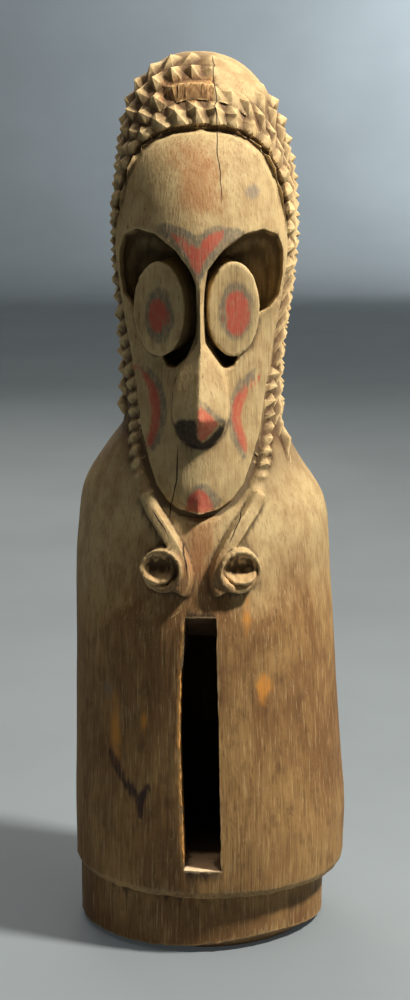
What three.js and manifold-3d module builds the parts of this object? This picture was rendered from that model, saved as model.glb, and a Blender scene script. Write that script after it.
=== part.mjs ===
// A slit drum carved from one log. The hollow trunk has a tall slit in front and a narrower foot. Above it
// stands a long-faced figure: a masklike face with deep sockets, disc eyes and a wedge nose, rows of notched
// hair over the head, and two tusk ridges that run down the chest and curl round hollow bosses.
// Millimetres, +Z up, the face looking along -Y, the origin in the middle of the underside.
import * as THREE from "three";
import { mergeVertices } from "three/addons/utils/BufferGeometryUtils.js";
import Module from "manifold-3d";

// Driving sizes. The carved figure's places are shares of the height, written in thousandths of it.
const HEIGHT = 1187;
const WALL = 60; // wood left around the hollow trunk
const SLIT_FLOOR_Z = 122;
const SLIT_LENGTH = 342;
// The slit's sides: share of its length from the floor up, left and right of the carving's middle.
const SLIT_SIDES = [[0, -18.5, 31.5], [0.5, -24.5, 27.5], [0.8, -23, 25.5], [1, -17, 24]];
const SLIT_TOP_SLOPE = 0.57; // how far the slit's upper end drops for each millimetre inwards
const HOLLOW_RISE = 6; // the hollow goes this far above the slit's inner end
const FOOT_HEIGHT = 84;
const FOOT_INSET = 17.5; // how far the trunk overhangs the foot
const FOOT_SHIFT = -11; // the foot stands left of the trunk's flared end
const FOOT_SINK = 10; // the foot runs this far up into the trunk
const FOOT_EDGE_RISE = 7; // the worn lower edge of the foot stands this far off the ground
const FOOT_CHIP_RISE = 12; // and this much more at the chipped place
const FOOT_CHIP_ANGLE = -55; // degrees from +X, seen from above
const FOOT_EDGE_INSET = 20;
const TOOTH_PITCH = 24;
const TOOTH_HEIGHT = 13;
const NOTCH_FLOOR = 4; // wood left above the log between two teeth of a row
const ROW_FOOT = 42; // width of a row at its foot, which runs under its neighbours
const ROW_ROOT = 2; // how deep the foot of a row lies in the log
const VALLEY_FLOOR = 3; // wood left above the log between two rows
const FIRST_ROW_PITCH = 21;
const END_CROWDING = 0.18; // share by which the first row's teeth stand closer at its ends
const END_SIZE = 0.62; // size of the first row at its ends
const ROW_SPACING = 26;
const ROWS_BEHIND_FACE = 3;
const EYE_WIDTH = 69;
const EYE_HEIGHT = 123;
const EYE_THICKNESS = 84; // each disc runs this far back, into the wood behind its socket
const EYE_YAW = 14; // degrees that each disc is turned outwards
const BOSS_RADIUS = 31;
const BOSS_RIM = 7;
const DISH_DEPTH = 21;
const RIDGE_WIDTH = 15;
const RIDGE_HEIGHT = 14;
const RIDGE_FOOT = 5; // how much wider each side of a ridge is at its foot
const RIDGE_ROOT = 8;
const RIDGE_STATIONS = 20;
const ROUND = 36; // sides of the log
const FINEST = 0.5; // detail smaller than this is let go

const WOOD = new THREE.MeshStandardMaterial({ name: "wood", color: 0xa98a5c, roughness: 0.82, metalness: 0 });

const unit = HEIGHT / 1000;
const CARVING_X = -6.5 * unit; // the face and the slit stand left of the trunk's flared foot end

// Sections of the log: height, centre right of the carving's middle, half width, how far the front and the
// back stand from the axis, and squareness (2 is an ellipse).
const LOG = [
  [69.1, 6.1, 153.5, 153.5, 153.5, 2],
  [75.8, 5.7, 157.5, 157.5, 157.5, 2],
  [132.3, 6.5, 158.4, 158.4, 158.4, 2],
  [255.3, 2.6, 152.8, 152.8, 152.8, 2],
  [375.7, -0.8, 148.5, 147.9, 148.5, 2],
  [394.3, -1.3, 147.7, 144.1, 147.7, 2],
  [412.8, -1.9, 147, 139.4, 147, 2],
  [446.5, -2.1, 145.7, 134, 145.7, 2],
  [476, -1.7, 143.7, 128.1, 143.7, 2],
  [497.1, -3.3, 140.9, 122.2, 140.9, 2],
  [513.9, -5.8, 134.8, 117.5, 134.8, 2.1],
  [530.7, -8, 124.5, 113.3, 126.4, 2.3],
  [547.6, -7.8, 113.1, 109.1, 117.5, 2.5],
  [564.4, -6.7, 102.4, 104.7, 108.7, 2.8],
  [585.5, -4.9, 88, 100.3, 102.8, 3.2],
  [606.6, -3.7, 84.1, 97.7, 99.4, 3.6],
  [640.3, -2.9, 82.4, 96, 97.7, 4],
  [690.8, -2.4, 85.1, 93.5, 96.9, 4],
  [741.4, -0.4, 90.7, 90.1, 97.7, 4],
  [796.1, 0.8, 94.8, 88.5, 98.6, 4],
  [834, 0.8, 94.4, 88.5, 97.3, 3.8],
  [867.7, 0.8, 92.2, 86.8, 95.2, 3.2],
  [893, 0, 88.9, 85.1, 94.4, 2.8],
  [914.1, -0.8, 85.5, 82.6, 93.5, 2.5],
  [930.9, -2.5, 82.1, 77.5, 91, 2.3],
  [947.8, -3.5, 76.7, 66.6, 87.6, 2.2],
  [964.6, -5.2, 68.2, 51.4, 81.7, 2.1],
  [974.7, -6.2, 61.1, 39.6, 75.8, 2.05],
  [984, -7.1, 51.8, 26.1, 69.1, 2],
  [990.7, -7.6, 42.1, 11.8, 60.7, 2],
  [995.8, -8, 31.2, -1.7, 50.5, 2],
  [999.2, -8.4, 17.7, -12.6, 38.8, 2],
  [1000, -8.4, 6.7, -20.2, 30.3, 2],
];

// The face's outline: height and half width, from the hairline down to the chin.
const FACE_OUTLINE = [
  [921.7, 0], [918.3, 32], [909.9, 52.2], [895.5, 69.1], [863.5, 85.1], [829.8, 92.7], [800.3, 94.4],
  [770.9, 92.7], [741.4, 88.5], [711.9, 83.4], [680.7, 77.5], [648.7, 72.5], [610.8, 67.4], [581.3, 63.2],
  [556, 57.3], [532.4, 48.9], [515.6, 36.2], [505.5, 21.1], [502.1, 0],
];

// The face's front: height, how far forward its middle stands, and how far back its edges fall.
const FACE_FRONT = [
  [502.1, 133.1, 25.3], [539.2, 128.1, 27], [572.9, 122.2, 28.6], [606.6, 116.3, 27], [640.3, 110.4, 23.6],
  [674, 104.5, 21.1], [716.1, 97.7, 18.5], [727, 105, 26], [742, 131.5, 54], [758.2, 133.1, 55.6],
  [800.3, 131.4, 57.3], [825.6, 126.4, 52.2], [859.3, 116.3, 40.4], [893, 101.1, 21.9], [921.7, 82.6, 8.4],
];
const FACE_BACK = 50;
const FACE_LEAST_HALF = 25; // the face's front is shaped as if it were never narrower than this either side

// An eye socket, seen from the front: out from the bridge and height. Below the disc's outer side the cheek is
// left whole, so the socket ends under the disc there.
const SOCKET = [
  [2.8, 754], [9, 769], [25, 790], [48, 807], [69, 811.5], [83.5, 804.5], [89.3, 788], [89.3, 762],
  [85, 740], [74, 725], [58, 717], [46, 702], [41, 686], [41, 671], [36, 663], [27, 660.5], [15, 671], [5, 695],
];
const SOCKET_ANCHOR = [2.8, 676]; // the socket narrows towards this corner as it deepens
const SOCKET_STEPS = [[168, 1], [80, 1], [62, 0.95], [54, 0.8]]; // distance forward of the axis, share kept

const EYE_PLACE = [41, 725.5, 106]; // out, up, and forward to the middle of the disc's face
const EYE_SHIFT = -4; // the eyes stand left of the nose

// The bridge and nose: height, half width, how far forward the sides and the ridge stand.
const NOSE = [
  [766.6, 7.6, 128, 133], [752.3, 3.4, 127, 132.4], [724.5, 2.9, 119, 128.5], [689, 4.2, 116, 127],
  [676, 13, 117, 131], [661, 23, 119, 137], [640.3, 29.6, 123, 144.5], [619.2, 30.8, 128.5, 151.5],
  [609.9, 30.2, 130.6, 154.5], [594, 26, 125, 143], [582, 18, 120, 130], [573.5, 7, 116, 120],
];
const NOSE_BACK = 66;
const NOSE_LEAN = 1.6; // the nose stands right of the bridge's top

// The tusk ridge below the last tooth, seen from the front: out and height.
const RIDGE = [[61, 523], [54.3, 506], [40.4, 485], [26.3, 462], [18.5, 442], [18.1, 426], [23, 416]];
const BOSS_PLACE = [44, 442, 144]; // out, up, and forward to the rim
const CHEST_SHIFT = 3; // the ridges and bosses stand this far right of the face
const DISH_RISE = 4;

// The first row of teeth, seen from the front: height and out.
const FIRST_ROW = [
  [519.8, 61.9], [533.3, 65.9], [546.8, 69.1], [560.2, 71.4], [577.1, 74], [594.8, 74.8], [610.8, 75],
  [627.6, 75.4], [648.7, 77.5], [680.7, 82.6], [711.9, 86.8], [741.4, 90.1], [770.9, 91], [800.3, 91.4],
  [834, 90.1], [863.5, 86.4], [888.8, 76.7], [909.9, 61.5], [925, 42.1], [932.6, 23.6], [936, 0],
];
const OTHER_ROWS_END = 600;
const SECOND_ROW_RIGHT_END = 560;
const SECOND_ROW_Y = -42;
const ROW_TOP_SHIFT = -15; // the rows lean forward over the crown
const CROWN = 900; // the top of the head starts here
const PLAIN_CREST = [-38, 6]; // the second row has no notches between these places at its top
const WORN_PLACE = [38, 982]; // the teeth are worn low round this place on the crown: to the right, and up
const WORN_SPREAD = [12, 55]; // they are lowest within the first distance and whole beyond the second

const wasm = await Module();
wasm.setup();

function solid(geometry) {
  const bare = geometry.clone();
  bare.deleteAttribute("normal");
  bare.deleteAttribute("uv");
  const merged = mergeVertices(bare, 1e-4);
  const mesh = new wasm.Mesh({
    numProp: 3,
    vertProperties: merged.attributes.position.array,
    triVerts: new Uint32Array(merged.index.array),
  });
  return new wasm.Manifold(mesh);
}

// A closed skin over rings of equally many points, with a flat fan at each end, turned to face outwards.
function loft(rings) {
  const count = rings[0].length;
  const points = rings.flat();
  const faces = [];
  for (let r = 0; r + 1 < rings.length; r += 1) {
    for (let i = 0; i < count; i += 1) {
      const a = r * count + i;
      const b = r * count + ((i + 1) % count);
      faces.push(a, b, b + count, a, b + count, a + count);
    }
  }
  for (const [ring, turned] of [[0, true], [rings.length - 1, false]]) {
    const middle = points.length;
    const sum = rings[ring].reduce((total, p) => total.add(p), new THREE.Vector3());
    points.push(sum.divideScalar(count));
    for (let i = 0; i < count; i += 1) {
      const a = ring * count + i;
      const b = ring * count + ((i + 1) % count);
      faces.push(...(turned ? [middle, b, a] : [middle, a, b]));
    }
  }
  let volume = 0;
  for (let f = 0; f < faces.length; f += 3) {
    const [a, b, c] = faces.slice(f, f + 3).map((i) => points[i]);
    volume += a.dot(new THREE.Vector3().crossVectors(b, c));
  }
  const geometry = new THREE.BufferGeometry().setFromPoints(points);
  geometry.setIndex(volume < 0 ? faces.reverse() : faces);
  return geometry;
}

function table(rows) {
  const heights = rows.map((row) => row[0] * unit);
  return new THREE.CubicInterpolant(heights, rows.flatMap((row) => row.slice(1)), rows[0].length - 1);
}

const logTable = table(LOG);
const faceTable = table(FACE_FRONT);
const outlineTable = table([...FACE_OUTLINE].reverse());

function logAt(z) {
  const [centre, half, front, back, squareness] = logTable.evaluate(z);
  const depth = ((front + back) / 2) * unit;
  return { x: CARVING_X + centre * unit, y: depth - front * unit, half: half * unit, depth, squareness };
}

// The point of the log's section at an angle round it, drawn in by an inset.
function logPoint(angle, z, inset = 0) {
  const { x, y, half, depth, squareness } = logAt(z);
  const across = Math.abs(Math.cos(angle)) / (half - inset);
  const along = Math.abs(Math.sin(angle)) / (depth - inset);
  const radius = (across ** squareness + along ** squareness) ** (-1 / squareness);
  return new THREE.Vector3(x + radius * Math.cos(angle), y + radius * Math.sin(angle), z);
}

const around = (count, place) => Array.from({ length: count }, (_, i) => place((i / count) * 2 * Math.PI));
const logRing = (z, inset = 0) => around(ROUND, (angle) => logPoint(angle, z, inset));

// How far outside the log's surface a point lies, in shares of its section.
function outside(p) {
  const { x, y, half, depth, squareness } = logAt(p.z);
  return (Math.abs(p.x - x) / half) ** squareness + (Math.abs(p.y - y) / depth) ** squareness - 1;
}

function logNormal(p) {
  const at = (axis, step) => outside(p.clone().addScaledVector(axis, step));
  const slope = (axis) => at(axis, 0.5) - at(axis, -0.5);
  const axes = [new THREE.Vector3(1, 0, 0), new THREE.Vector3(0, 1, 0), new THREE.Vector3(0, 0, 1)];
  return new THREE.Vector3(...axes.map(slope)).normalize();
}

// Where the log's front lies at a place seen from the front.
function logFrontY(x, z) {
  const { x: centre, y, half, depth, squareness } = logAt(z);
  const share = Math.min(1, Math.abs(x - centre) / half);
  return y - depth * (1 - share ** squareness) ** (1 / squareness);
}

function faceY(x, z) {
  const [forward, fall] = faceTable.evaluate(z);
  const half = Math.max(outlineTable.evaluate(z)[0], FACE_LEAST_HALF) * unit;
  return (-forward + fall * Math.min(1.2, ((x - CARVING_X) / half) ** 2)) * unit;
}

function trunk() {
  const levels = LOG.map((row) => row[0] * unit);
  return solid(loft(levels.map((z) => logRing(z))));
}

function foot() {
  const chip = THREE.MathUtils.degToRad(FOOT_CHIP_ANGLE);
  const edgeRise = (angle) => FOOT_EDGE_RISE + FOOT_CHIP_RISE * Math.max(0, Math.cos(angle - chip)) ** 6;
  const footBase = LOG[1][0] * unit;
  const at = (angle, z, inset) => {
    const p = logPoint(angle, footBase, FOOT_INSET + inset);
    p.x += FOOT_SHIFT;
    p.z = z;
    return p;
  };
  return solid(loft([
    around(ROUND, (angle) => at(angle, 0, FOOT_EDGE_INSET)),
    around(ROUND, (angle) => at(angle, edgeRise(angle), 0)),
    around(ROUND, (angle) => at(angle, FOOT_HEIGHT / 2, -1)),
    around(ROUND, (angle) => at(angle, FOOT_HEIGHT + FOOT_SINK, 0)),
  ]));
}

function faceOutlinePoints(samples) {
  const right = FACE_OUTLINE.map(([z, x]) => new THREE.Vector2(x * unit, z * unit));
  const left = right.slice(1, -1).reverse().map((p) => new THREE.Vector2(-p.x, p.y));
  const upright = [...right, ...left].map((p) => new THREE.Vector3(p.x, 0, p.y));
  const curve = new THREE.CatmullRomCurve3(upright, true, "centripetal");
  return curve.getSpacedPoints(samples).slice(0, -1);
}

// A plate of the face's outline, cut off by the face's curved front.
function facePlate() {
  const depth = HEIGHT * 0.2;
  const shape = new THREE.Shape(faceOutlinePoints(72).map((p) => new THREE.Vector2(p.x, p.z)));
  const plate = new THREE.ExtrudeGeometry(shape, { depth, bevelEnabled: false, steps: 1 });
  plate.rotateX(Math.PI / 2).translate(CARVING_X, 0, 0);
  const low = FACE_OUTLINE.at(-1)[0] * unit;
  const high = FACE_OUTLINE[0][0] * unit;
  const width = 2.4 * FACE_OUTLINE[6][1] * unit;
  const block = new THREE.BoxGeometry(width, depth, high - low, 12, 1, 22);
  const places = block.attributes.position;
  for (let i = 0; i < places.count; i += 1) {
    const x = places.getX(i) + CARVING_X;
    const z = places.getZ(i) + (low + high) / 2;
    const y = places.getY(i) > 0 ? -FACE_BACK * unit : faceY(x, z);
    places.setXYZ(i, x, y, places.getZ(i) * 1.01 + (low + high) / 2);
  }
  return solid(plate).intersect(solid(block));
}

function socket(side) {
  const [anchorX, anchorZ] = SOCKET_ANCHOR;
  const rings = SOCKET_STEPS.map(([forward, share]) => SOCKET.map(([x, z]) => new THREE.Vector3(
    CARVING_X + side * (anchorX + (x - anchorX) * share) * unit,
    -forward * unit,
    (anchorZ + (z - anchorZ) * share) * unit,
  )));
  return solid(loft(rings));
}

function eye(side) {
  const [out, up, forward] = EYE_PLACE;
  const disc = new THREE.CylinderGeometry(0.5, 0.5, EYE_THICKNESS, 32);
  disc.scale(EYE_WIDTH, 1, EYE_HEIGHT).translate(0, -EYE_THICKNESS / 2, 0);
  disc.rotateX(Math.PI).rotateZ(side * THREE.MathUtils.degToRad(EYE_YAW));
  disc.translate(CARVING_X + (EYE_SHIFT + side * out) * unit, -forward * unit, up * unit);
  return solid(disc);
}

function nose() {
  const middle = CARVING_X + NOSE_LEAN * unit;
  const ring = ([z, half, sides, ridge]) => {
    const section = [[-half, NOSE_BACK], [-half, sides], [0, ridge], [half, sides], [half, NOSE_BACK]];
    return section.map(([x, forward]) => new THREE.Vector3(middle + x * unit, -forward * unit, z * unit));
  };
  return solid(loft(NOSE.map(ring)));
}

// A raised strip along a curve on the log. The section at a station is a list of places: to the side and up.
function strip(curve, stations, sectionAt) {
  const rings = stations.map((share, i) => {
    const place = curve.getPointAt(share);
    const normal = logNormal(place);
    const across = new THREE.Vector3().crossVectors(curve.getTangentAt(share), normal).normalize();
    const offset = ([side, rise]) =>
      place.clone().addScaledVector(across, side).addScaledVector(normal, rise);
    return sectionAt(place, i).map(offset);
  });
  return solid(loft(rings));
}

// A row of teeth is a ridge with a V cut across it between every two teeth.
const crestAt = (station) => (station % 2 === 0 ? NOTCH_FLOOR : TOOTH_HEIGHT);

function firstRow() {
  const curve = firstRowCurve();
  const count = 2 * Math.round(curve.getLength() / FIRST_ROW_PITCH);
  const closer = (share) => share - (END_CROWDING * Math.sin(2 * Math.PI * share)) / (2 * Math.PI);
  const stations = Array.from({ length: count + 1 }, (_, i) => closer(i / count));
  return strip(curve, stations, (place, i) => {
    const size = END_SIZE + (1 - END_SIZE) * THREE.MathUtils.smoothstep(place.z / unit, 560, 760);
    const foot = (ROW_FOOT / 2) * size;
    return [[-foot, -ROW_ROOT], [0, crestAt(i) * size], [foot, -ROW_ROOT]];
  });
}

// The rows behind it lie side by side, with a valley between every two.
function otherRows() {
  const curves = Array.from({ length: ROWS_BEHIND_FACE }, (_, i) => rowCurve(i));
  const count = 2 * Math.round(curves[0].getLength() / TOOTH_PITCH);
  const section = (station) => {
    const feet = curves.map((curve) => curve.getPointAt(station / count));
    const normals = feet.map(logNormal);
    const raise = (place, normal, rise) => place.clone().addScaledVector(normal, rise);
    const middle = (a, b) => a.clone().add(b).divideScalar(2);
    const crests = feet.map((foot, i) => {
      const across = foot.x / unit;
      const plain = i === 0 && foot.z > CROWN * unit && across > PLAIN_CREST[0] && across < PLAIN_CREST[1];
      const fromWorn = Math.hypot(across - WORN_PLACE[0], foot.z / unit - WORN_PLACE[1]);
      const whole = THREE.MathUtils.smoothstep(fromWorn, ...WORN_SPREAD);
      const rise = plain ? TOOTH_HEIGHT : crestAt(station);
      return raise(foot, normals[i], THREE.MathUtils.lerp(VALLEY_FLOOR + 1, rise, whole));
    });
    const valleys = feet.slice(1).map((foot, i) =>
      raise(middle(feet[i], foot), middle(normals[i], normals[i + 1]), VALLEY_FLOOR));
    const ring = crests.flatMap((crest, i) => [crest, ...valleys.slice(i, i + 1)]);
    const edge = (outer, inner, normal) => raise(outer.clone().lerp(inner, -0.6), normal, -ROW_ROOT);
    const core = raise(middle(feet[0], feet.at(-1)), middle(normals[0], normals.at(-1)), -WALL / 2);
    const front = edge(feet[0], feet[1], normals[0]);
    const back = edge(feet.at(-1), feet.at(-2), normals.at(-1));
    return [front, ...ring, back, core];
  };
  return solid(loft(Array.from({ length: count + 1 }, (_, i) => section(i))));
}

// The first row runs round the face on the log's front.
function firstRowCurve() {
  const onLog = (side) => ([up, out]) => onFront(0, side, [out, up]);
  const left = FIRST_ROW.map(onLog(-1));
  const right = FIRST_ROW.slice(0, -1).map(onLog(1)).reverse();
  return new THREE.CatmullRomCurve3([...left, ...right], false, "centripetal");
}

// The other rows run up one side of the head and down the other, one behind another.
function rowCurve(number) {
  const rowY = (z) => SECOND_ROW_Y * unit + number * ROW_SPACING
    + ROW_TOP_SHIFT * unit * THREE.MathUtils.smoothstep(z / unit, 820, 940);
  const end = OTHER_ROWS_END * unit;
  const rightEnd = number === 0 ? SECOND_ROW_RIGHT_END * unit : end;
  const side = [];
  const step = 2 * unit;
  for (let z = Math.min(end, rightEnd); z < HEIGHT; z += step) {
    const { x, y: middle, half, depth, squareness } = logAt(z);
    const y = rowY(z);
    const left = 1 - (Math.abs(y - middle) / depth) ** squareness;
    if (left <= 0.02) break;
    side.push({ x, reach: half * left ** (1 / squareness), y, z });
  }
  const edge = (lowest, hand) => side.filter((p) => p.z >= lowest)
    .map((p) => new THREE.Vector3(p.x + hand * p.reach, p.y, p.z));
  const points = [...edge(end, -1), ...edge(rightEnd, 1).reverse()];
  const curve = new THREE.CatmullRomCurve3(points, false, "centripetal");
  curve.arcLengthDivisions = 3000;
  return curve;
}

const onFront = (shift, side, [out, up]) => {
  const x = CARVING_X + (shift + side * out) * unit;
  return new THREE.Vector3(x, logFrontY(x, up * unit), up * unit);
};

function ridge(side) {
  const top = RIDGE_WIDTH / 2;
  const base = top + RIDGE_FOOT;
  const section = [[-base, -RIDGE_ROOT], [-top, RIDGE_HEIGHT], [top, RIDGE_HEIGHT], [base, -RIDGE_ROOT]];
  const places = RIDGE.map((place) => onFront(CHEST_SHIFT, side, place));
  const curve = new THREE.CatmullRomCurve3(places, false, "centripetal");
  const stations = Array.from({ length: RIDGE_STATIONS + 1 }, (_, i) => i / RIDGE_STATIONS);
  return strip(curve, stations, () => section);
}

// What turns a piece modelled facing +Y so that it faces outwards from the log at a boss.
function bossFrame(side, rise = 0) {
  const [out, up, forward] = BOSS_PLACE;
  const face = new THREE.Vector3(side * out, -forward, 0).normalize();
  const across = new THREE.Vector3().crossVectors(face, new THREE.Vector3(0, 0, 1));
  const x = CARVING_X + (CHEST_SHIFT + side * out) * unit;
  const place = new THREE.Vector3(x, -forward * unit, up * unit + rise);
  return new THREE.Matrix4().makeBasis(across, face, new THREE.Vector3(0, 0, 1)).setPosition(place);
}

function boss(side) {
  const knob = new THREE.CylinderGeometry(BOSS_RADIUS - 2, BOSS_RADIUS + 2, 2 * BOSS_RADIUS, 24);
  return solid(knob.translate(0, -BOSS_RADIUS, 0).applyMatrix4(bossFrame(side)));
}

function dish(side) {
  const radius = BOSS_RADIUS - BOSS_RIM;
  const bowl = new THREE.SphereGeometry(1, 18, 10).scale(radius, DISH_DEPTH, radius - DISH_RISE / 2);
  return solid(bowl.applyMatrix4(bossFrame(side, DISH_RISE / 2)));
}

// The slit's sides bow a little, and its upper end slopes down inwards.
function slit() {
  const outerFace = logFrontY(CARVING_X, SLIT_FLOOR_Z + SLIT_LENGTH);
  const ring = (y) => {
    const drop = (y - outerFace) * SLIT_TOP_SLOPE;
    const place = (x, share) =>
      new THREE.Vector3(CARVING_X + x, y, SLIT_FLOOR_Z + share * SLIT_LENGTH - (share === 1 ? drop : 0));
    const left = SLIT_SIDES.map(([share, x]) => place(x, share));
    const right = SLIT_SIDES.map(([share, , x]) => place(x, share)).reverse();
    return [...left, ...right];
  };
  return solid(loft([ring(1.2 * outerFace), ring(outerFace + 1.5 * WALL)]));
}

function hollow() {
  const outerFace = logFrontY(CARVING_X, SLIT_FLOOR_Z + SLIT_LENGTH);
  const top = SLIT_FLOOR_Z + SLIT_LENGTH - WALL * SLIT_TOP_SLOPE + HOLLOW_RISE;
  const shoulder = (top - SLIT_FLOOR_Z) / 8;
  const levels = [
    [SLIT_FLOOR_Z, 0.3], [SLIT_FLOOR_Z + shoulder / 2, 0], [SLIT_FLOOR_Z + 3 * shoulder, 0],
    [top - 2 * shoulder, 0], [top - shoulder, 0.1], [top - shoulder / 3, 0.4], [top, 0.8],
  ];
  const inset = (narrower) => WALL + (narrower * Math.abs(outerFace)) / 3;
  return solid(loft(levels.map(([z, narrower]) => logRing(z, inset(narrower)))));
}

function carve() {
  const sides = [-1, 1];
  const log = wasm.Manifold.union([trunk(), foot(), facePlate()]);
  const paired = [eye, boss, ridge].flatMap((piece) => sides.map(piece));
  const raised = [nose(), ...paired, firstRow(), otherRows()];
  const cuts = [...sides.map(dish), slit(), hollow()];
  const sockets = wasm.Manifold.union(sides.map(socket));
  const carved = wasm.Manifold.union([log.subtract(sockets), ...raised]).subtract(wasm.Manifold.union(cuts));
  const pieces = carved.simplify(FINEST).decompose();
  const drum = pieces.sort((a, b) => b.volume() - a.volume())[0]; // slivers between teeth fall away
  const { min, max } = drum.boundingBox();
  return drum.translate([-(min[0] + max[0]) / 2, -(min[1] + max[1]) / 2, -min[2]]);
}

function geometryOf(manifold) {
  const { vertProperties, triVerts } = manifold.getMesh();
  const geometry = new THREE.BufferGeometry();
  geometry.setAttribute("position", new THREE.BufferAttribute(vertProperties, 3));
  geometry.setIndex(new THREE.BufferAttribute(triVerts, 1));
  geometry.computeVertexNormals();
  return geometry;
}

const drum = new THREE.Mesh(geometryOf(carve()), WOOD);
drum.name = "slit_drum";

const group = new THREE.Group();
group.add(drum);
export default group;
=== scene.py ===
"""The looks of a slit drum carved from one log: worn wood with upright grain, carved hair, rubbed red and
grey paint, cracks and broken places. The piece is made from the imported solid, smoothed where the carver
left it smooth, roughened where it is rough, and painted by its material.

Places on the carving are in millimetres: to the right of the carving's middle, and up from the floor. The
studio's sizes are in metres.
"""

import math

import bmesh
import bpy
import numpy as np
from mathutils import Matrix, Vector


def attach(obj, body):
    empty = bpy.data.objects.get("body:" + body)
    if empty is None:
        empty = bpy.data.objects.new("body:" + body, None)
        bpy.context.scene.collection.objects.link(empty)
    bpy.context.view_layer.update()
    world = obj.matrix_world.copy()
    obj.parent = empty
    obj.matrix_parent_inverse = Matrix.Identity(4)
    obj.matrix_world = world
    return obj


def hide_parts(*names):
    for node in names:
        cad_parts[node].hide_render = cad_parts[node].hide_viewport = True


MM = 0.001
LEAST_RISE = 1e-9
NODE = "slit_drum"
CARVING_X = -7.7  # where the carving's middle is, seen from the drum's axis

NET_DEPTH = 10  # the net has two to this power cells along its longest side
NET_SHARE = 0.6  # the drum's share of that side
MOST_TRIANGLES = 185000
SMOOTHING_ROUNDS = 110
CHEST_ROUNDS = 5
FACE_ROUNDS = 7
RIDGE_END_ROUNDS = 4 * CHEST_ROUNDS
CARVED_EDGE = 0.011  # how uneven the normals are where the carver left an edge
HAIR_HELD = 0.92  # how much of the smoothing the hair is spared
CREASE = math.radians(27)  # edges that bend more than this are shown sharp

# The face's outline, seen from the front: height, and half width.
FACE_EDGE = [
    (1094, 0), (1090, 38), (1080, 62), (1063, 82), (1025, 101), (985, 110), (950, 112), (915, 110),
    (880, 105), (845, 99), (808, 92), (770, 86), (725, 80), (690, 75), (660, 68), (632, 58),
    (612, 43), (600, 25), (596, 0),
]
UNDERCUT = 5.5  # how deep the groove is under the first row of hair and under the chin
CHEST = ((480, 655), 105, -95)  # where the ridges lie: from and to up, how far out, and how far back
WORN_DOME = (48, 1160, 30, 55)  # across, up, and where the wear is full and where it ends
DOME_WEAR = 0.8
BROKEN_CREST = ((-56, 17), (1120, 1154), -58)  # from and to across, from and to up, and how far back
RIDGE_ENDS = [(-69, 620), (76, 620)]
CUPS = [(-53.6, 524.6), (53.6, 524.6)]
CUP_RADIUS = 24
CUP_FILL = 16  # how much wood is left in the lower half of each cup
SLIT_LEFT = [(122, -18.5), (293, -24.5), (396, -23), (464, -17)]
SLIT_RIGHT = [(122, 31.5), (293, 27.5), (396, 25.5), (464, 24)]
SLIT_FLOOR = 122
HOLLOW = (134, 112, 450, 468)  # its radius, its floor, its top, and the slit's top

# The carving's waves, by their size, what they start from, and their stretch along the grain.
FACETS = {"size": 34, "seed": 1, "stretch": 3.2}
GRAIN = {"size": 3.6, "seed": 2, "stretch": 14}
WORN_EDGES = {"size": 6, "seed": 3, "stretch": 2}
SMALL_CHIPS = {"size": 5.5, "seed": 4, "stretch": 1.6}
LARGE_CHIPS = {"size": 13, "seed": 5}
SPLINTERS = {"size": 3.0, "seed": 6, "stretch": 9}
STRUCK_EDGE = {"size": 7, "seed": 7, "octaves": 3}
STRUCK_DEPTH = 1.3
CRACK_WAVE = 16
CRACK_WOBBLE = 1.4
CRACK_SEED = 20
LEAST_CRACK = 0.001

# Outlines of the painted places, seen from the front.
BROW_DARK = [
    (-61, 969), (-42, 972), (-20, 967), (-6.5, 959), (-0.7, 957), (8, 964), (15.5, 968.5), (31, 969),
    (47, 966), (59, 962), (52, 952), (40, 944), (28, 936), (13, 916), (1, 896), (-7, 910), (-18.5, 930),
    (-36, 949), (-54, 961),
]
BROW_RED = [
    (-35, 960), (-20, 954.5), (-8.3, 946), (-1.3, 940.3), (1.9, 943), (5.6, 952), (17, 960),
    (31.4, 964), (30.7, 954.4), (18.8, 941), (11, 931.5), (6.3, 919.5), (-0.6, 909), (-8.3, 918),
    (-12, 929.4), (-19.8, 942), (-32.8, 953.4),
]
CHEEK_RIGHT_RED = [
    (79.5, 776), (72.6, 773.7), (65, 767), (57, 761.7), (50, 754), (43.6, 742.7), (41.2, 729), (42, 714),
    (45.3, 702), (52.7, 685.6), (57.6, 675), (60.5, 672.7), (61.4, 682.7), (59.4, 695), (54.5, 707.3),
    (53, 718.4), (53.3, 730), (57.2, 743), (62, 751.5), (71, 762), (79.6, 771),
]
CHEEK_RIGHT_GREY = [
    (77, 784), (67.7, 782), (60.6, 777), (51.7, 771), (44.7, 759), (41, 747), (39, 729),
    (37.5, 711.5), (38, 702.5), (43, 689), (49.7, 675.7), (55.7, 665), (60.6, 667), (54, 690),
    (46, 712), (47, 735), (58, 756), (78, 777),
]
CHEEK_LEFT_RED = [
    (-90, 784.5), (-83.3, 784), (-72.8, 778.5), (-63.4, 769), (-58.3, 761.7), (-53.7, 750), (-51.5, 732.5),
    (-52.5, 712.5), (-56, 699), (-62.5, 679.3), (-71, 679.5), (-69.8, 692.6), (-64.5, 703), (-63.4, 721.5),
    (-66, 738), (-68.7, 754), (-71.7, 765.7), (-79, 775), (-89, 780.6),
]
CHEEK_LEFT_GREY = [
    (-84, 789), (-74, 787), (-63.5, 781), (-53, 769), (-46, 752), (-42.7, 736), (-43.7, 718), (-48, 703),
    (-52, 688), (-55, 679), (-63.5, 671), (-68, 682), (-60, 705), (-57, 730), (-62, 755), (-76, 777),
]
NOSE_RED = [
    (4, 741), (10.4, 735), (18, 728), (25.5, 717), (20, 708), (12, 700), (4, 694), (-1, 700), (-1, 735),
]
NOSE_GREY = [(3, 750), (13, 742), (24, 732), (36, 720), (36, 714), (24, 722), (13, 733), (3, 741)]
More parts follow.
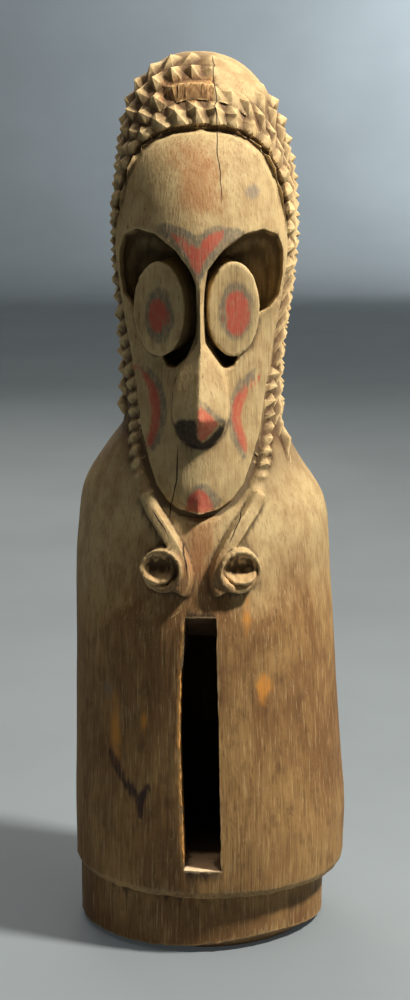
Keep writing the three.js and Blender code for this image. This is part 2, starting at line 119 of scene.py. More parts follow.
NOSE_DARK = [
    (36, 717), (31, 703), (23, 691), (14, 684), (1, 680), (-12, 684), (-25, 694), (-34, 713), (-26, 723),
    (-10, 724.5), (-1.5, 726), (-1, 698), (5, 692), (13, 698), (21, 706), (27, 716),
]
CHIN_RED = [
    (-17, 600), (-15.5, 616), (-9, 625), (-1, 630), (5.4, 629), (11.8, 621), (17, 612), (20.7, 600),
]
CHIN_GREY = [(-16, 612), (-14, 622), (-9, 632), (1.5, 638.5), (12, 634), (21, 626), (30, 614), (24, 604)]

# Painted ovals: middle and half sizes.
OVALS_RED = [((47.5, 856), (17.8, 29)), ((-53.8, 852.3), (15, 22))]
OVALS_GREY = [((46.6, 859), (22.6, 38)), ((-52.4, 852), (20.2, 36))]

PAINT_FRONT_Y = -88  # paint lies only on what stands further forward than this
NOSE_FRONT_Y = -116  # and the black only on what stands further forward than this

# Cracks: places along each, and its width.
CRACKS = [
    ([(9.7, 1184), (18, 1128), (20.5, 1090), (21.4, 1063), (27, 1026), (29, 995)], 0.8),
    ([(-27.8, 684), (-30, 640), (-36, 606), (-39, 585)], 1.1),
    ([(-64, 604), (-53, 589), (-43, 577)], 1.6),
    ([(-60, 598), (-49, 585), (-38, 566)], 1.0),
    ([(-21.7, 562), (-17, 540), (-13, 521)], 1.5),
    ([(59, 608), (53, 590), (40, 560)], 0.9),
]

# Stains: middle, half sizes, and which stain.
GREY_BLOTS = [((67.6, 1011), (9, 9)), ((-123, 352), (7, 10)), ((64, 470), (4, 5))]
SMEARS = [  # the line of each dark smear, and half its width
    ([(-118, 268), (-107, 244), (-95, 230), (-80, 209)], 6.0),
    ([(-80, 209), (-66, 232)], 5.0),
    ([(-80, 209), (-77, 190)], 4.0),
]
ORANGE_SCUFFS = [
    ((63, 462), (4, 14)), ((85, 366), (9, 15)), ((-112, 300), (4, 26)), ((-70, 318), (4, 9)),
]
REDDISH_STAINS = [
    ((-2, 1033), (24, 40)), ((4, 1003), (20, 22)), ((-12, 1062), (20, 8)), ((2, 562), (22, 40)),
]

# Colours, as seen: red, green and blue from 0 to 255.
TRUNK_BROWN = (122, 86, 48)
TRUNK_WARM = (156, 120, 72)
TRUNK_DARK = (92, 65, 37)
TRUNK_STREAK = (112, 78, 44)
HEAD_PALE = (184, 160, 114)
HEAD_TAN = (160, 132, 90)
FIBRE_DARK = (84, 58, 34)
FIBRE_PALE = (200, 168, 116)
SPECK = (56, 38, 24)
SCRATCH = (196, 168, 122)
SPLINTER_PALE = (204, 158, 98)
SPLINTER_DARK = (138, 94, 50)
CUP_WOOD = (204, 168, 118)
STRUCK_WOOD = (214, 152, 76)
SILL_WOOD = (226, 198, 160)
# Painted shade inside the slit and the hollow.
INNER_SHADE = (40, 28, 18)
# Darker in the hollows.
HOLLOW_DARK = (58, 40, 24)
# Painted shade and dirt on the hair.
HAIR_SHADE_AND_DIRT = (84, 57, 32)
RUBBED_WOOD = (214, 186, 134)
# Painted shade in the cracks.
CRACK_SHADE = (34, 23, 14)

SCRATCH_TURNS = (0.5, -0.9)
# Each kind of stain: its mark, colour and strength, and how loose and how soft its edge is.
STAIN_KINDS = [
    ("stain", (156, 98, 54), 0.55, 60, 14.0),
    ("blot", (112, 104, 96), 0.6, 14, 4.0),
    ("smear", (52, 32, 30), 0.9, 10, 2.5),
    ("scuff", (206, 136, 52), 0.75, 34, 5.0),
]
# Each paint: its mark, colour and strength, and the share that is left where it is worn.
PAINTS = [
    ("grey", (88, 84, 76), 0.72, 0.6),
    ("red", (182, 76, 57), 0.84, 0.74),
    ("black", (36, 22, 16), 0.97, 0.93),
]
PAINT_EDGE = 2.6  # half of how wide a paint's edge is
RELIEF = {"Strength": 0.8, "Distance": 0.0018}
FAR_OUT = 30  # how far outside a paint's outline every place that isn't in front counts as
FAR_OFF = 40  # and the same for the trunk's stains

FLOOR_REACH = 8.5
BEND = 2.5
BEND_STEPS = 12
WALL_TOP = 7
WALL_SIDES = 96
PAPER_TINT = (124, 132, 136)
PAPER_GLOW = 0.14  # how much the paper is lit by itself, as by the rest of a white studio

DRUM_MIDDLE = (0, 0, 0.6)
BACKDROP = (2.0, 10.6, 1.7)
# Each light: azimuth and elevation in degrees, distance, size, watts, colour, aim, and spread in degrees.
LIGHTS = [
    ("key", 69, 52, 3.2, 0.4, 205, (1.0, 0.95, 0.87), DRUM_MIDDLE, 180),
    ("overhead", 0, 90, 5.5, 6.0, 140, (1.0, 0.94, 0.86), DRUM_MIDDLE, 180),
    ("behind", 193, 30, 4.2, 2.4, 60, (1.0, 0.93, 0.84), DRUM_MIDDLE, 180),
    ("wall", 35, 25, 3.0, 1.0, 250, (0.95, 0.98, 1.0), BACKDROP, 110),
]
ROOM_TINT = (0.8, 0.76, 0.7, 1)
ROOM_STRENGTH = 0.022

CAMERA_TURN = math.radians(3.0)
CAMERA_DISTANCE = 3.0
CAMERA_HEIGHT = 1.18
CAMERA_TILT = math.radians(11.2)
FOCAL_SHARE = 2.24  # focal length in picture heights
SENSOR = 36


def triples(items, name):
    """One row of three numbers for each item."""
    flat = np.empty(len(items) * 3, np.float32)
    items.foreach_get(name, flat)
    return flat.reshape(-1, 3).astype(float)


def points_of(mesh):
    return triples(mesh.vertices, "co")


def normals_of(mesh):
    return triples(mesh.vertex_normals, "vector")


def move_to(mesh, points):
    mesh.vertices.foreach_set("co", points.astype(np.float32).ravel())
    mesh.update()


class Neighbours:
    """Averages over the vertices that each vertex shares an edge with."""

    def __init__(self, mesh):
        ends = np.empty(len(mesh.edges) * 2, np.int64)
        mesh.edges.foreach_get("vertices", ends)
        ends = ends.reshape(-1, 2)
        self.near = np.concatenate([ends[:, 0], ends[:, 1]])
        self.far = np.concatenate([ends[:, 1], ends[:, 0]])
        self.size = len(mesh.vertices)
        self.count = np.maximum(np.bincount(self.near, minlength=self.size), 1)

    def mean(self, values):
        if values.ndim == 1:
            return np.bincount(self.near, values[self.far], self.size) / self.count
        return np.stack([self.mean(column) for column in values.T], 1)

    def spread(self, values, rounds):
        for _ in range(rounds):
            values = 0.5 * values + 0.5 * self.mean(values)
        return values


def ramp(values, low, high):
    """A soft step from 0 at the one limit to 1 at the other."""
    share = np.clip((values - low) / (high - low), 0, 1)
    return share * share * (3 - 2 * share)


def rough(points, size, seed, octaves=2, stretch=1.0):
    """Smooth noise about zero over points in millimetres, of that size and longer along the grain."""
    scaled = points / np.array([size, size, size * stretch]) + seed * 17.3
    total = np.zeros(len(points))
    for octave in range(octaves):
        step = 2.0**octave
        total += lattice_noise(scaled * step) / step
    return total


def lattice_noise(p):
    """Noise from -1 to 1, between values that are mixed from the numbers of each whole corner."""
    cell = np.floor(p).astype(np.int64)
    f = p - cell
    f = f * f * (3 - 2 * f)
    total = np.zeros(len(p))
    for corner in np.ndindex(2, 2, 2):
        at = cell + np.array(corner)
        mixed = (at[:, 0] * 73856093) ^ (at[:, 1] * 19349663) ^ (at[:, 2] * 83492791)
        mixed = (mixed ^ (mixed >> 13)) * 1274126177
        value = ((mixed ^ (mixed >> 16)) & 0xFFFF) / 32767.5 - 1
        weight = np.prod(np.where(np.array(corner) == 1, f, 1 - f), axis=1)
        total += value * weight
    return total


def off_stretch(points, a, b):
    """How far each place lies from the straight stretch between two places."""
    run = b - a
    share = np.clip((points - a) @ run / (run @ run), 0, 1)
    return np.hypot(*(points - a - share[:, None] * run).T)


def off_path(points, path):
    """How far each place lies from a bent line."""
    corners = np.array(path, float)
    return np.min([off_stretch(points, a, b) for a, b in zip(corners, corners[1:])], axis=0)


def inside_by(points, outline):
    """How far inside an outline each place lies; outside it is less than zero."""
    best = np.full(len(points), np.inf)
    inside = np.zeros(len(points), bool)
    corners = np.array(outline, float)
    for a, b in zip(corners, np.roll(corners, -1, axis=0)):
        run = b - a
        best = np.minimum(best, off_stretch(points, a, b))
        crosses = (a[1] > points[:, 1]) != (b[1] > points[:, 1])
        rise = run[1] if abs(run[1]) > LEAST_RISE else LEAST_RISE
        inside ^= crosses & (points[:, 0] < a[0] + (points[:, 1] - a[1]) * run[0] / rise)
    return np.where(inside, best, -best)


def oval_by(points, oval):
    """About how far inside an oval each place lies."""
    middle, half = (np.array(v, float) for v in oval)
    return (1 - np.hypot(*((points - middle) / half).T)) * half.min()


def deepest(layers):
    return np.max(np.stack(layers), axis=0)


def off_line(points, line):
    """How far right of an upright line each place lies, and how far inside the line's span."""
    places = np.array(sorted(line, key=lambda p: p[1]), float)
    across = points[:, 0] - np.interp(points[:, 1], places[:, 1], places[:, 0])
    span = np.minimum(points[:, 1] - places[0, 1], places[-1, 1] - points[:, 1])
    return across, span


def smooth(points, around, share, rounds):
    """Moves each point towards the mean of its neighbours, as far as its share says."""
    for _ in range(rounds):
        points += share[:, None] * (around.mean(points) - points)


def carved_mesh(node):
    """The solid as an even net of small faces, smooth where it has no carved edge."""
    joined = bmesh.new()
    joined.from_mesh(node.data)
    bmesh.ops.remove_doubles(joined, verts=joined.verts, dist=0.001 * MM)
    whole = bpy.data.meshes.new("whole")
    joined.to_mesh(whole)
    joined.free()
    source = bpy.data.objects.new("source", whole)
    bpy.context.scene.collection.objects.link(source)
    remesh = source.modifiers.new("net", "REMESH")
    remesh.mode = "SHARP"
    remesh.octree_depth = NET_DEPTH
    remesh.scale = NET_SHARE
    remesh.use_remove_disconnected = False
    graph = bpy.context.evaluated_depsgraph_get()
    mesh = bpy.data.meshes.new_from_object(source.evaluated_get(graph))
    bpy.data.objects.remove(source)

    around = Neighbours(mesh)
    plain = around.spread(normals_of(mesh), 5)
    sharpness = 1 - np.linalg.norm(plain, axis=1)
    free = around.spread(np.exp(-((sharpness / CARVED_EDGE) ** 2)), 3) ** 2
    points = points_of(mesh)
    free *= 1 - HAIR_HELD * around.spread(hair_share(places_of(points)), 4)
    smooth(points, around, 0.7 * free, SMOOTHING_ROUNDS)
    smooth(points, around, 0.6 * face_share(places_of(points)), FACE_ROUNDS)
    smooth(points, around, 0.6 * chest_share(places_of(points)), CHEST_ROUNDS)
    smooth(points, around, 0.7 * ridge_end_share(places_of(points)), RIDGE_END_ROUNDS)
    move_to(mesh, points)
    return mesh


def places_of(points):
    """Points in millimetres from the carving's middle."""
    return points / MM - np.array([CARVING_X, 0, 0])


def chest_share(p):
    """How fully each point lies on the chest round the ridges."""
    (low, high), out, back = CHEST
    up = ramp(p[:, 2], low, low + 20) * ramp(p[:, 2], high, high - 15)
    return up * ramp(np.abs(p[:, 0]), out, out - 15) * ramp(p[:, 1], back, back - 10)


def face_edge_by(p):
    """How far inside the face's outline each point lies, seen from the front."""
    right = [(x, z) for z, x in FACE_EDGE]
    left = [(-x, z) for x, z in reversed(right[1:-1])]
    return inside_by(p[:, [0, 2]], right + left)


def hair_share(p):
    """How fully each point lies in the hair, less where the crown is worn."""
    by = face_edge_by(p)
    hair = np.where(p[:, 1] < -30, ramp(by, 0, -4), 1.0) * ramp(p[:, 2], 600, 680)
    hair = np.maximum(hair, (by < 0) * ramp(p[:, 2], 1060, 1090))
    x, z, inner, outer = WORN_DOME
    return hair * (1 - DOME_WEAR * ramp(np.hypot(p[:, 0] - x, p[:, 2] - z), outer, inner))


def ridge_end_share(p):
    """How fully each point lies at the upper end of a ridge."""
    nearest = np.min([np.hypot(p[:, 0] - x, p[:, 2] - z) for x, z in RIDGE_ENDS], axis=0)
    return ramp(nearest, 26, 10) * ramp(p[:, 1], -60, -80)


def face_share(p):
    """How fully each point lies on the face, away from its edge."""
    return ramp(face_edge_by(p), 2, 6) * ramp(p[:, 1], -60, -75)


def cup_share(p):
    """How fully each point lies in one of the two cups."""
    share = np.zeros(len(p))
    for x, z in CUPS:
        near = np.hypot(p[:, 0] - x, p[:, 2] - z)
        share = np.maximum(share, ramp(near, CUP_RADIUS + 2, CUP_RADIUS - 3) * (p[:, 1] < -110))
    return share


def broken_share(p):
    """How fully each point lies on the broken piece of the crest."""
    (left, right), (low, high), back = BROKEN_CREST
    across = ramp(p[:, 0], left, left + 4) * ramp(p[:, 0], right, right - 3)
    up = ramp(p[:, 2], low, low + 5) * ramp(p[:, 2], high + 3, high - 2)
    return across * up * ramp(p[:, 1], back + 14, back + 4)


def roughen(mesh):
    """Knife facets, grain, chips and broken wood, as moves along the surface's normals."""
    points = points_of(mesh)
    normals = normals_of(mesh)
    p = places_of(points)
    around = Neighbours(mesh)
    sharpness = 1 - np.linalg.norm(around.spread(normals, 4), axis=1)
    edge = around.spread(ramp(sharpness, 0.02, 0.07), 1)
    head = ramp(p[:, 2], 560, 620)
    outer = ramp(np.hypot(p[:, 0], p[:, 1]), 95, 110)

    # Heights in millimetres. The head is carved finer than the trunk.
    facets = rough(p, **FACETS) * (0.75 - 0.45 * head)
    grain = rough(p, **GRAIN) * (0.28 - 0.14 * head)
    worn = rough(p, **WORN_EDGES) * edge * (0.75 - 0.35 * hair_share(p))
    cup = cup_share(p)
    chips = cup * (rough(p, **SMALL_CHIPS) * 1.5 + rough(p, **LARGE_CHIPS) * 1.2)
    broken = broken_share(p)
    splinters = broken * rough(p, **SPLINTERS) * 0.9
    move = facets * np.where(p[:, 2] > 450, 1, outer) + grain + worn + chips + splinters

    # A groove under the first row of hair, and one under the chin.
    by = face_edge_by(p)
    in_front = ramp(p[:, 1], -30, -50)
    under_hair = ramp(by, 10, 3) * ramp(by, -3, 0.5) * ramp(p[:, 2], 930, 1000)
    under_chin = ramp(by, -13, -4) * ramp(by, 2, -1) * ramp(p[:, 2], 700, 660)
    lower_teeth = ramp(by, -16, -5) * ramp(by, 1, -2) * ramp(p[:, 2], 930, 1000)
    move += in_front * (UNDERCUT * (0.5 * lower_teeth - under_hair - under_chin))
    points += normals * (move * MM)[:, None]

    # The lower half of each cup is less deep.
    for x, z in CUPS:
        near = np.hypot(p[:, 0] - x, p[:, 2] - z)
        low = ramp(z - p[:, 2], -8, 14) * ramp(near, CUP_RADIUS, CUP_RADIUS - 6)
        points[:, 1] -= low * cup * ramp(p[:, 1], -169, -157) * CUP_FILL * MM

    # The slit's left edge is ragged where the sticks have struck it.
    edge_x, span = off_line(p[:, [0, 2]], [(x, z) for z, x in SLIT_LEFT])
    struck = ramp(np.abs(edge_x), 9, 1) * ramp(span, -2, 8) * ramp(p[:, 1], -140, -165)
    points[:, 0] += struck * rough(p, **STRUCK_EDGE) * STRUCK_DEPTH * MM
    points[:, 2] = np.maximum(points[:, 2], 0)
    move_to(mesh, points)


def thin_out(mesh):
    """Fewer faces, kept where the form needs them."""
    triangles = sum(len(polygon.vertices) - 2 for polygon in mesh.polygons)
    thick = bpy.data.objects.new("thick", mesh)
    bpy.context.scene.collection.objects.link(thick)
    decimate = thick.modifiers.new("fewer", "DECIMATE")
    decimate.ratio = min(1.0, MOST_TRIANGLES / triangles)
    graph = bpy.context.evaluated_depsgraph_get()
    thinned = bpy.data.meshes.new_from_object(thick.evaluated_get(graph))
    bpy.data.objects.remove(thick)
    return thinned


def mark(mesh, name, values):
    """One number at each vertex, under a name that the material reads."""
    attribute = mesh.attributes.new(name, "FLOAT", "POINT")
    attribute.data.foreach_set("value", values.astype(np.float32))


def mark_all(mesh):
    """All that the material reads: how deep each vertex lies in each painted, cracked or stained place."""
    points = points_of(mesh)
    normals = normals_of(mesh)
    p = places_of(points)
    front = p[:, [0, 2]]
    around = Neighbours(mesh)

    faces_front = ramp(-normals[:, 1], 0.15, 0.4) * ramp(p[:, 1], PAINT_FRONT_Y + 4, PAINT_FRONT_Y - 4)
    behind = -FAR_OUT * (1 - faces_front)
    red = [BROW_RED, CHEEK_RIGHT_RED, CHEEK_LEFT_RED, CHIN_RED, NOSE_RED]
    grey = [BROW_DARK, CHEEK_RIGHT_GREY, CHEEK_LEFT_GREY, CHIN_GREY, NOSE_GREY]
    for name, outlines, ovals in [("red", red, OVALS_RED), ("grey", grey, OVALS_GREY)]:
        layers = [inside_by(front, outline) for outline in outlines]
        layers += [oval_by(front, oval) for oval in ovals]
        mark(mesh, name, deepest(layers) + behind)
    mark(mesh, "black", inside_by(front, NOSE_DARK) + np.where(p[:, 1] < NOSE_FRONT_Y, 0, -FAR_OUT))

    for number, (line, width) in enumerate(CRACKS):
        across, span = off_line(front, line)
        wobble = rough(p, CRACK_WAVE, CRACK_SEED + number) * CRACK_WOBBLE
        mark(mesh, f"crack_{number}", across + wobble)
        mark(mesh, f"crack_{number}_width", width * ramp(span, -1, 12) * (p[:, 1] < 25))

    off_front = FAR_OFF * (1 - ramp(-p[:, 1], 60, 90))
    for name, ovals in [("blot", GREY_BLOTS), ("scuff", ORANGE_SCUFFS), ("stain", REDDISH_STAINS)]:
        mark(mesh, name, deepest([oval_by(front, oval) for oval in ovals]) - off_front)
    smears = deepest([half - off_path(front, path) for path, half in SMEARS])
    mark(mesh, "smear", smears - off_front)

    for name, rounds, scale in [("fine", 3, 0.5), ("broad", 40, 3.0)]:
        mean = around.spread(points, rounds)
        mark(mesh, name, np.einsum("ij,ij->i", points - mean, normals) / (scale * MM))
    mark(mesh, "cup", cup_share(p))
    mark(mesh, "broken", broken_share(p))
    mark(mesh, "hair", hair_share(p))

    left, span = off_line(front, [(x, z) for z, x in SLIT_LEFT])
    right, _ = off_line(front, [(x, z) for z, x in SLIT_RIGHT])
    in_front = ramp(p[:, 1], -120, -140)
    rim = ramp(np.abs(left + 0.5), 3.5, 1) * ramp(span, 0, 20) * in_front
    on_sill = (np.abs(p[:, 2] - SLIT_FLOOR) < 9) * (left > -4) * (right < 4)
    ledge = ramp(normals[:, 2], 0.4, 0.7) * on_sill * ramp(p[:, 1], -105, -125)
    mark(mesh, "rim", rim)
    mark(mesh, "ledge", ledge)
    # Where the inside of the slit and the hollow gets painted shade.
    radius, floor, top, slit_top = HOLLOW
    in_slit = (left > 1) & (right < -1) & (p[:, 1] < 0)
    in_hollow = (np.hypot(p[:, 0], p[:, 1]) < radius) & (p[:, 2] < top)
    at_height = (p[:, 2] > floor) & (p[:, 2] < slit_top)
    mark(mesh, "inner", (in_slit | in_hollow) * at_height * (1 - ledge))


class Nodes:
    """Short ways to add and join shader nodes."""

    def __init__(self, material):
        self.tree = material.node_tree
        self.tree.nodes.clear()

    def add(self, kind, inputs=(), **settings):
        node = self.tree.nodes.new(kind)
        for key, value in settings.items():
            setattr(node, key, value)
        for key, value in dict(inputs).items():
            self.put(node.inputs[key], value)
        return node

    def put(self, socket, value):
        if isinstance(value, bpy.types.NodeSocket):
            self.tree.links.new(value, socket)
        else:
            socket.default_value = value

    def maths(self, operation, a, b=0.0):
        return self.add("ShaderNodeMath", {0: a, 1: b}, operation=operation).outputs[0]

    def times(self, a, b):
        return self.maths("MULTIPLY", a, b)

    def plus(self, a, b):
        return self.maths("ADD", a, b)

    def span(self, value, low, high, out_low=0.0, out_high=1.0):
        """A soft step of the value between two limits."""
        limits = {"From Min": low, "From Max": high, "To Min": out_low, "To Max": out_high}
        inputs = {"Value": value, **limits}
        return self.add("ShaderNodeMapRange", inputs, interpolation_type="SMOOTHSTEP").outputs[0]

    def read(self, name):
        return self.add("ShaderNodeAttribute", attribute_name=name).outputs["Fac"]

    def mix(self, share, a, b):
        node = self.add("ShaderNodeMix", data_type="RGBA", clamp_factor=True)
        self.put(node.inputs["Factor"], share)
        self.put(node.inputs["A"], a)
        self.put(node.inputs["B"], b)
        return node.outputs["Result"]

    def lay(self, base, seen, share, strength):
        """One more colour over the base, as strong as the share times the strength."""
        return self.mix(self.times(share, strength), base, colour(seen))

    def place(self, scale, turn=0.0):
        place = self.add("ShaderNodeTexCoord").outputs["Object"]
        if turn:
            place = self.add("ShaderNodeMapping", {"Vector": place, "Rotation": (0, turn, 0)}).outputs[0]
        return self.add("ShaderNodeMapping", {"Vector": place, "Scale": scale}).outputs[0]

    def finish(self, inputs):
        """The shader with these inputs, as the material's surface."""
        shader = self.add("ShaderNodeBsdfPrincipled", inputs)
        out = self.add("ShaderNodeOutputMaterial")
        self.tree.links.new(shader.outputs[0], out.inputs[0])

    def noise(self, scale, detail=3.0, roughness=0.55, distortion=0.0, turn=0.0):
        place = self.place(scale, turn)
        inputs = {"Vector": place, "Scale": 1.0, "Detail": detail, "Roughness": roughness}
        node = self.add("ShaderNodeTexNoise", {**inputs, "Distortion": distortion})
        return node.outputs[0]


def colour(seen):
    """A colour given as seen, 0 to 255, as the shader's linear values."""
    linear = []
    for value in seen:
        share = value / 255
        linear.append(share / 12.92 if share <= 0.04045 else ((share + 0.055) / 1.055) ** 2.4)
    return (*linear, 1)


def wood_material():
    """Worn wood: darker in its hollows; bare, stained, painted or cracked where the marks say so; with
    painted shade on the hair, in the cracks and inside the slit.
    """
    material = bpy.data.materials.new("worn_wood")
    material.use_nodes = True
    n = Nodes(material)

    # Each noise by its cells to the metre, across the grain and along it, its detail and its roughness.
    fibres = n.noise((380, 380, 20), 4, 0.62)
    streaks = n.noise((120, 120, 7), 3, 0.6)
    patches = n.noise((9, 9, 5.5), 4, 0.62, 0.6)
    specks = n.noise((420, 420, 60), 2, 0.6)
    mottle = n.noise((45, 45, 30), 4, 0.65)

    # The trunk is browner than the head, with warm patches.
    height = n.add("ShaderNodeSeparateXYZ", {0: n.place((1, 1, 1))}).outputs[2]
    up = n.plus(height, n.times(n.plus(patches, -0.5), 0.3))
    trunk = n.mix(n.span(patches, 0.36, 0.64), colour(TRUNK_BROWN), colour(TRUNK_WARM))
    trunk = n.lay(trunk, TRUNK_DARK, n.span(mottle, 0.5, 0.7), 0.5)
    trunk = n.lay(trunk, TRUNK_STREAK, n.span(streaks, 0.5, 0.72), 0.45)
    head = n.mix(n.span(mottle, 0.35, 0.7), colour(HEAD_PALE), colour(HEAD_TAN))
    wood = n.mix(n.span(up, 0.44, 0.58), trunk, head)
    wood = n.lay(wood, FIBRE_DARK, n.span(fibres, 0.52, 0.7), n.span(up, 0.44, 0.6, 0.6, 0.3))
    wood = n.lay(wood, FIBRE_PALE, n.span(fibres, 0.45, 0.3), n.span(up, 0.44, 0.6, 0.5, 0.25))
    wood = n.lay(wood, SPECK, n.span(specks, 0.66, 0.72), 0.6)

    # Thin pale scratches run across the trunk at two slants.
    scratched = n.times(n.span(n.noise((24, 24, 24), 2, 0.5), 0.5, 0.62), n.span(up, 0.62, 0.5))
    for turn in SCRATCH_TURNS:
        lines = n.noise((900, 900, 26), 1, 0.5, turn=turn)
        wood = n.lay(wood, SCRATCH, n.times(n.span(lines, 0.7, 0.74), scratched), 0.6)

    # Bare wood on the broken crest, in the cups and on the slit's struck edge and sill; painted shade
    # inside the slit and the hollow.
    fresh = n.mix(n.span(fibres, 0.4, 0.6), colour(SPLINTER_PALE), colour(SPLINTER_DARK))
    wood = n.mix(n.times(n.read("broken"), 0.9), wood, fresh)
    wood = n.lay(wood, CUP_WOOD, n.read("cup"), 0.6)
    wood = n.lay(wood, STRUCK_WOOD, n.read("rim"), n.span(mottle, 0.4, 0.6, 0.2, 0.9))
    wood = n.lay(wood, SILL_WOOD, n.read("ledge"), 1.0)
    wood = n.lay(wood, INNER_SHADE, n.read("inner"), 0.8)

    uneven = n.plus(n.plus(n.times(mottle, 0.6), n.times(fibres, 0.4)), -0.5)
    for name, seen, strength, loose, soft in STAIN_KINDS:
        cover = n.span(n.plus(n.read(name), n.times(uneven, loose)), -soft, soft)
        wood = n.lay(wood, seen, cover, strength)

    # Darker in the hollows; painted shade and dirt on the hair but for its crests; edges are rubbed pale.
    fine = n.read("fine")
    broad = n.read("broad")
    hollow_share = n.span(n.plus(n.times(fine, 0.5), broad), -0.25, -1.3)
    wood = n.lay(wood, HOLLOW_DARK, hollow_share, 0.75)
    # Painted shade and dirt: the hair is darker everywhere but on its crests.
    wood = n.lay(wood, HAIR_SHADE_AND_DIRT, n.times(n.read("hair"), n.span(broad, 1.4, -0.4)), 0.75)
    rubbed = n.span(n.plus(n.times(fine, 0.6), n.times(broad, 0.5)), 0.5, 1.6)
    wood = n.lay(wood, RUBBED_WOOD, n.times(rubbed, n.span(up, 0.4, 0.6, 0.35, 1.0)), 0.5)

    # Paint, worn off in flakes along the grain.
    ragged = n.times(n.plus(n.noise((130, 130, 80), 4, 0.7), -0.5), 7)
    worn_off = n.span(n.noise((300, 300, 110), 3, 0.65), 0.36, 0.6)
    for name, seen, strength, left in PAINTS:
        cover = n.span(n.plus(n.read(name), ragged), -PAINT_EDGE, PAINT_EDGE)
        cover = n.times(cover, n.span(worn_off, 0.0, 1.0, left, 1.0))
        wood = n.lay(wood, seen, cover, strength)

    # Painted shade in the cracks, where their narrow gaps would be dark, and a groove in the relief.
    cracks = 0.0
    for number in range(len(CRACKS)):
        across = n.maths("ABSOLUTE", n.read(f"crack_{number}"))
        width = n.plus(n.read(f"crack_{number}_width"), LEAST_CRACK)
        cracks = n.maths("MAXIMUM", cracks, n.span(n.maths("DIVIDE", across, width), 1.0, 0.35))
    wood = n.lay(wood, CRACK_SHADE, cracks, 0.9)

    relief = n.plus(n.times(fibres, 0.55), n.times(mottle, 0.3))
    relief = n.plus(relief, n.times(streaks, 0.3))
    relief = n.plus(relief, n.times(cracks, -2.5))
    bump = n.add("ShaderNodeBump", {"Height": relief, **RELIEF})
    n.finish({
        "Base Color": wood,
        "Roughness": n.span(fibres, 0.3, 0.7, 0.66, 0.86),
        "Normal": bump.outputs[0],
        "Specular IOR Level": 0.35,
    })
    return material


def paper_material():
    material = bpy.data.materials.new("studio_paper")
    material.use_nodes = True
    n = Nodes(material)
    cloud = n.noise((1.6, 1.6, 1.6), 3, 0.5)
    darker = [0.95 * value for value in PAPER_TINT]
    n.finish({
        "Base Color": n.mix(n.span(cloud, 0.3, 0.7), colour(PAPER_TINT), colour(darker)),
        "Roughness": 0.9,
        "Emission Color": colour(PAPER_TINT),
        "Emission Strength": PAPER_GLOW,
    })
    return material


def studio_floor():
    """A wide, pale, level floor that bends up into a round wall on all sides."""
    outline = [(FLOOR_REACH, 0)]
    for i in range(1, BEND_STEPS + 1):
        turn = math.radians(90) * i / BEND_STEPS
        outline.append((FLOOR_REACH + BEND * math.sin(turn), BEND * (1 - math.cos(turn))))
    outline.append((FLOOR_REACH + BEND, WALL_TOP))
    verts = []
    for reach, up in outline:
        for i in range(WALL_SIDES):
            turn = 2 * math.pi * i / WALL_SIDES
            verts.append((reach * math.cos(turn), reach * math.sin(turn), up))
    faces = [list(range(WALL_SIDES))]
    for row in range(len(outline) - 1):
        low = row * WALL_SIDES
        high = low + WALL_SIDES
        for i in range(WALL_SIDES):
            j = (i + 1) % WALL_SIDES
            faces.append([low + i, high + i, high + j, low + j])
    mesh = bpy.data.meshes.new("studio_floor")
    mesh.from_pydata(verts, [], faces)
    mesh.polygons.foreach_set("use_smooth", [True] * len(faces))
    floor = bpy.data.objects.new("studio_floor", mesh)
    bpy.context.scene.collection.objects.link(floor)
    mesh.materials.append(paper_material())


def area_light(name, azimuth, elevation, distance, size, watts, tint, aim, spread):
    """A soft light, placed by the angles that it shines from: azimuth to the right of the camera's side."""
    a, e = math.radians(azimuth), math.radians(elevation)
    away = Vector((math.sin(a) * math.cos(e), -math.cos(a) * math.cos(e), math.sin(e)))
    light = bpy.data.lights.new(name, "AREA")
    light.shape = "DISK"
    light.size = size
    light.energy = watts
    light.color = tint
    light.spread = math.radians(spread)
    lamp = bpy.data.objects.new(name, light)
    lamp.location = Vector(aim) + away * distance
    lamp.rotation_euler = away.to_track_quat("Z", "Y").to_euler()
    lamp.visible_camera = False
    bpy.context.scene.collection.objects.link(lamp)


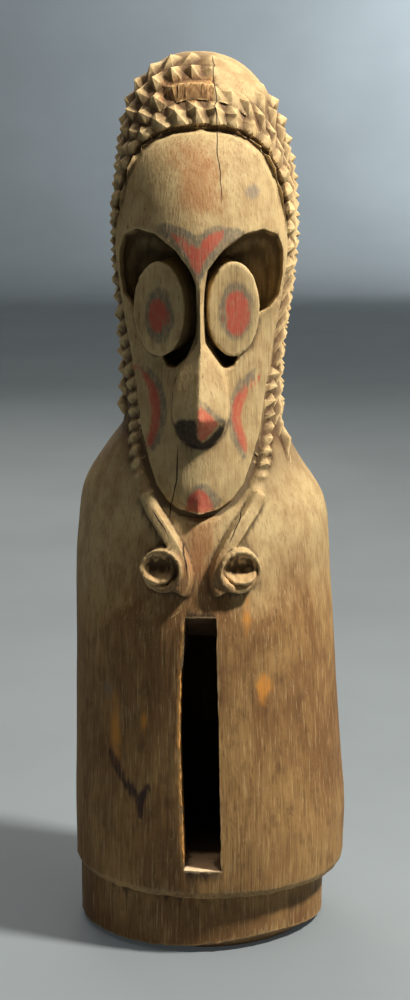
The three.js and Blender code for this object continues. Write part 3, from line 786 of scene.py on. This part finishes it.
def studio_light():
    bpy.context.scene.view_settings.view_transform = "Standard"
    for light in LIGHTS:
        area_light(*light)
    world = bpy.data.worlds.new("studio")
    world.use_nodes = True
    background = world.node_tree.nodes["Background"]
    background.inputs["Color"].default_value = ROOM_TINT
    background.inputs["Strength"].default_value = ROOM_STRENGTH
    bpy.context.scene.world = world


def camera():
    data = bpy.data.cameras.new("camera")
    data.sensor_width = SENSOR
    data.lens = SENSOR * FOCAL_SHARE
    view = bpy.data.objects.new("camera", data)
    forward = Vector((
        -math.sin(CAMERA_TURN) * math.cos(CAMERA_TILT),
        math.cos(CAMERA_TURN) * math.cos(CAMERA_TILT),
        -math.sin(CAMERA_TILT),
    ))
    view.location = (
        CARVING_X * MM + CAMERA_DISTANCE * math.sin(CAMERA_TURN),
        -CAMERA_DISTANCE * math.cos(CAMERA_TURN),
        CAMERA_HEIGHT,
    )
    view.rotation_euler = forward.to_track_quat("-Z", "Y").to_euler()
    bpy.context.scene.collection.objects.link(view)
    bpy.context.scene.camera = view


def carved_drum(node):
    mesh = carved_mesh(node)
    roughen(mesh)
    mesh = thin_out(mesh)
    mesh.polygons.foreach_set("use_smooth", [True] * len(mesh.polygons))
    mesh.set_sharp_from_angle(angle=CREASE)
    mark_all(mesh)
    mesh.name = "carved_wood"
    mesh.materials.clear()
    mesh.materials.append(wood_material())
    piece = bpy.data.objects.new("carved_wood", mesh)
    bpy.context.scene.collection.objects.link(piece)
    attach(piece, "root")
    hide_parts(NODE)


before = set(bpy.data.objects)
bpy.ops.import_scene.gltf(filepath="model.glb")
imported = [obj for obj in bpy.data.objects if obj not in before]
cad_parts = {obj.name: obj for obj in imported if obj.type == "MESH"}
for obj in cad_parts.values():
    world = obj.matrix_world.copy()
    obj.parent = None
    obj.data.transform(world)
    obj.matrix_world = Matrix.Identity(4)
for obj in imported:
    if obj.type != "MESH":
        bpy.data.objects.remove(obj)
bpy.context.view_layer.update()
camera()
studio_floor()
studio_light()
carved_drum(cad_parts[NODE])
